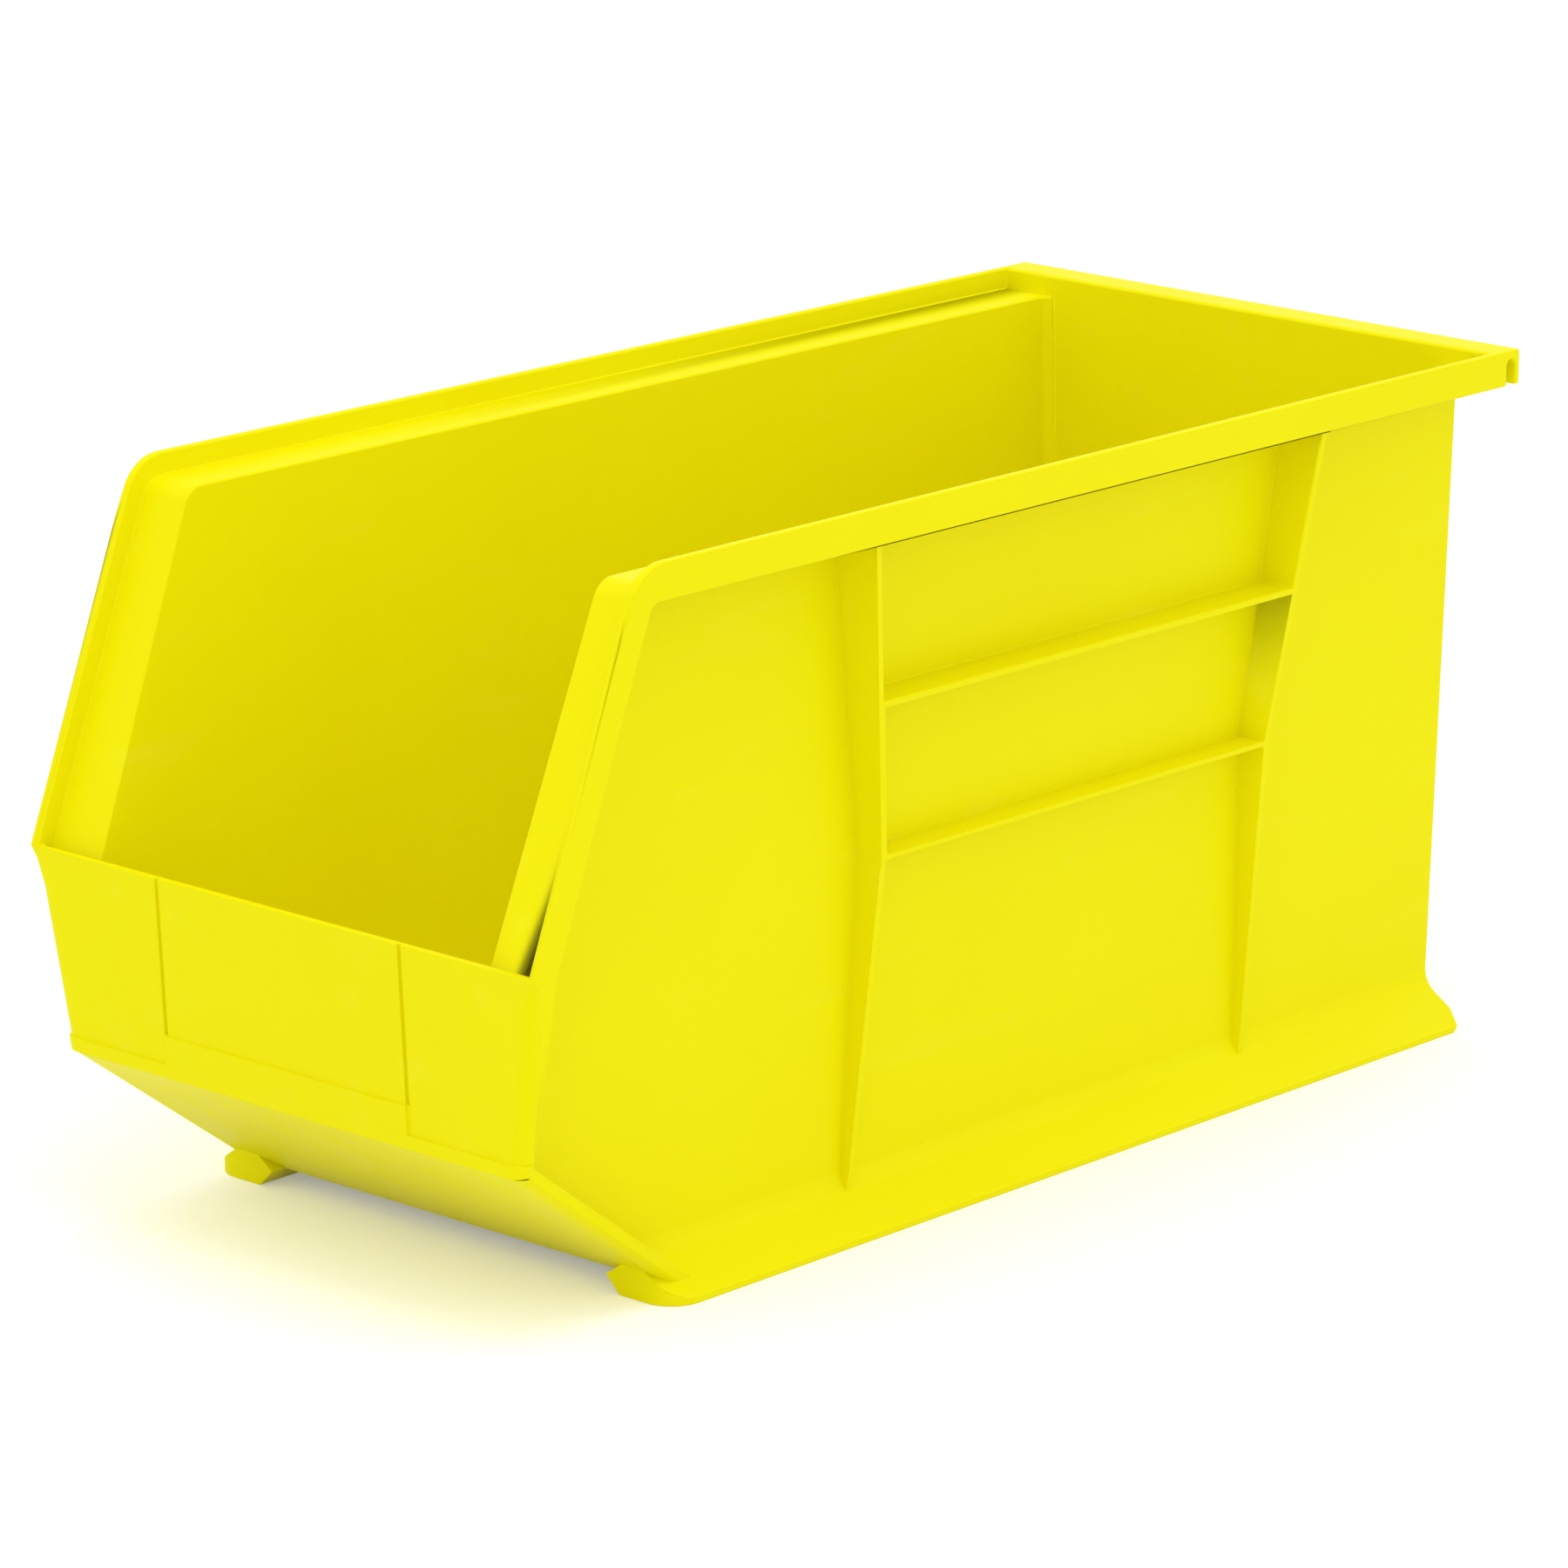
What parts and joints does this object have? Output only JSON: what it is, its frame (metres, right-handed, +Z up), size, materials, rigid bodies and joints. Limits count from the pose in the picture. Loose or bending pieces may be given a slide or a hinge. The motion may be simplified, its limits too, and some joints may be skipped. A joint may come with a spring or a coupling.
{
  "type": "hanging parts bin",
  "caption": "Hopper-front plastic parts bin with stacking ledges and rails, a sloped open front with a label area, side stiffening fins and ribs, and a back lip that hangs on a louvred panel.",
  "frame": {"origin": "centre of the bottom of the overall box: on the ground under the rails, halfway across the width and the depth", "axes": "+Z up, the hopper front faces -Y and the hanger lip is at +Y, so +X is to the right when the front is seen"},
  "size_m": [0.2096, 0.4572, 0.2286],
  "materials": {
    "moulding": "injection-moulded polypropylene, saturated yellow, satin with a fine moulded grain"
  },
  "bodies": {
    "root": {"floor_panel": "moulding", "toe_slope_panel": "moulding", "front_panel": "moulding", "panel_base_band": "moulding", "label_rest": "moulding", "back_wall": "moulding", "hanger_rail": "moulding", "hanger_plate": "moulding", "hanger_lip": "moulding", "left_side_wall": "moulding", "right_side_wall": "moulding", "left_side_ledge": "moulding", "right_side_ledge": "moulding", "left_front_ledge": "moulding", "right_front_ledge": "moulding", "left_side_rim": "moulding", "right_side_rim": "moulding", "left_front_rim": "moulding", "right_front_rim": "moulding", "left_hanger_cheek": "moulding", "right_hanger_cheek": "moulding", "left_panel_skirt": "moulding", "right_panel_skirt": "moulding", "left_toe_skirt": "moulding", "right_toe_skirt": "moulding", "left_base_rail": "moulding", "right_base_rail": "moulding", "left_front_fin": "moulding", "right_front_fin": "moulding", "left_rear_fin": "moulding", "right_rear_fin": "moulding", "left_upper_rib": "moulding", "right_upper_rib": "moulding", "left_lower_rib": "moulding", "right_lower_rib": "moulding"}
  },
  "joints": []
}
